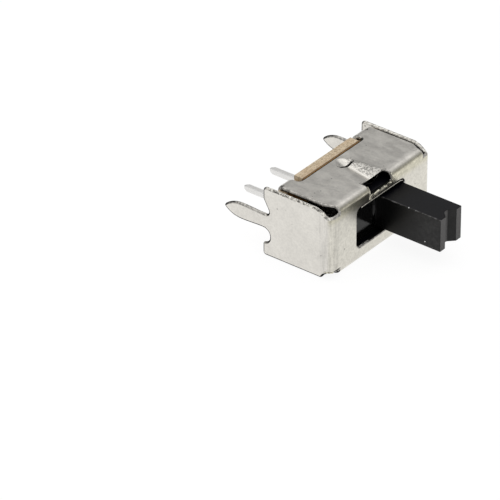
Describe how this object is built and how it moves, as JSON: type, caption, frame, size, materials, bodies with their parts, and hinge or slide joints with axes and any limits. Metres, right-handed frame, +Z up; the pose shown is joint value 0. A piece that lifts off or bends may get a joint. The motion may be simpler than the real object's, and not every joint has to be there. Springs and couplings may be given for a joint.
{
  "type": "slide switch",
  "caption": "Miniature slide switch: folded sheet cover with window, fixing tongues and claws, laminate base board, straight pins and a grooved black sliding lever.",
  "frame": {"origin": "under the middle of the bounding box of the switch lying on one long side, with the lever at the +X end of its travel", "axes": "+X along the body, in the lever's direction of travel; +Y out of the back, along the pins and tongues, so the lever comes out towards -Y; +Z up, out of the long side plate that has the dent"},
  "size_m": [0.0118, 0.015, 0.0056],
  "materials": {
    "cover_sheet": "nickel-plated steel sheet, satin with fine specks",
    "lever_plastic": "black moulded plastic, slightly shiny",
    "board_laminate": "brown phenolic paper laminate, punched",
    "pin_metal": "tin-plated, bright",
    "clip_metal": "spring strip, plain"
  },
  "bodies": {
    "housing": {"cover": "cover_sheet", "base_board": "board_laminate", "terminal_a": "pin_metal", "terminal_common": "pin_metal", "terminal_b": "pin_metal"},
    "slide": {"slider": "lever_plastic", "contact_clip": "clip_metal"}
  },
  "joints": [
    {"name": "lever_slide", "type": "slide", "parent": "housing", "child": "slide", "axis": [-1, 0, 0], "range_m": [0, 0.00275]}
  ]
}
